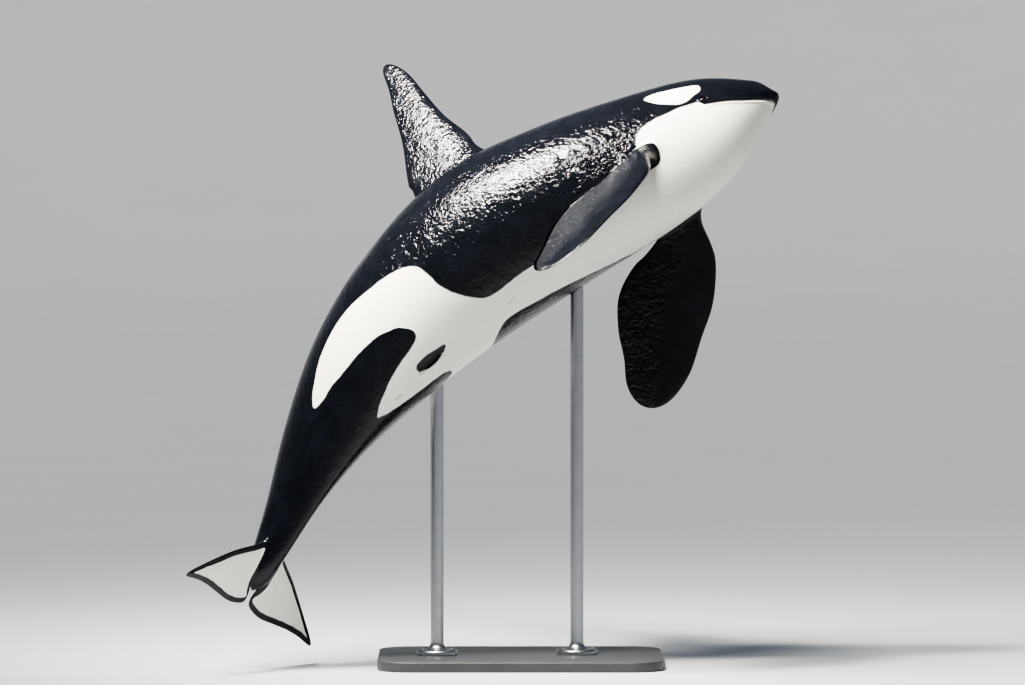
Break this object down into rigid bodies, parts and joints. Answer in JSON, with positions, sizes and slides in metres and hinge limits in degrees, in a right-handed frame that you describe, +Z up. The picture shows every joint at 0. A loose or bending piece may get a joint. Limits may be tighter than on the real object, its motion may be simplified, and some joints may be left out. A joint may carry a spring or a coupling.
{
  "type": "orca",
  "caption": "Life-size leaping bull orca, arched on its side with its flippers spread, held over a flat base by steel rods",
  "frame": {"origin": "the middle of the base's underside, on the floor", "axes": "+Z is up, +X is the way the animal faces, and -Y is the side its belly and right flipper lean towards"},
  "size_m": [5.3621, 3.5674, 5.4822],
  "materials": {
    "black_skin": "wet, glossy black skin with fine streaks; a grey saddle patch behind the fin and a white eye patch",
    "white_skin": "wet, glossy white skin of the chin, belly and flank patches",
    "eye": "clear, polished, very dark brown eye",
    "rod_steel": "satin brushed steel rod with a flared foot",
    "base_coat": "satin dark grey coat with rounded edges"
  },
  "bodies": {
    "root": {"head": "black_skin", "lower_jaw": "white_skin", "eye_right": "eye", "eye_left": "eye", "chest": "black_skin", "midbody": "black_skin", "hindbody": "black_skin", "tail_stock": "black_skin", "dorsal_fin": "black_skin", "flipper_right": "black_skin", "flipper_left": "black_skin", "fluke_right": "black_skin", "fluke_left": "black_skin", "stand_rod_front": "rod_steel", "stand_rod_rear": "rod_steel", "stand_base": "base_coat"}
  },
  "joints": []
}
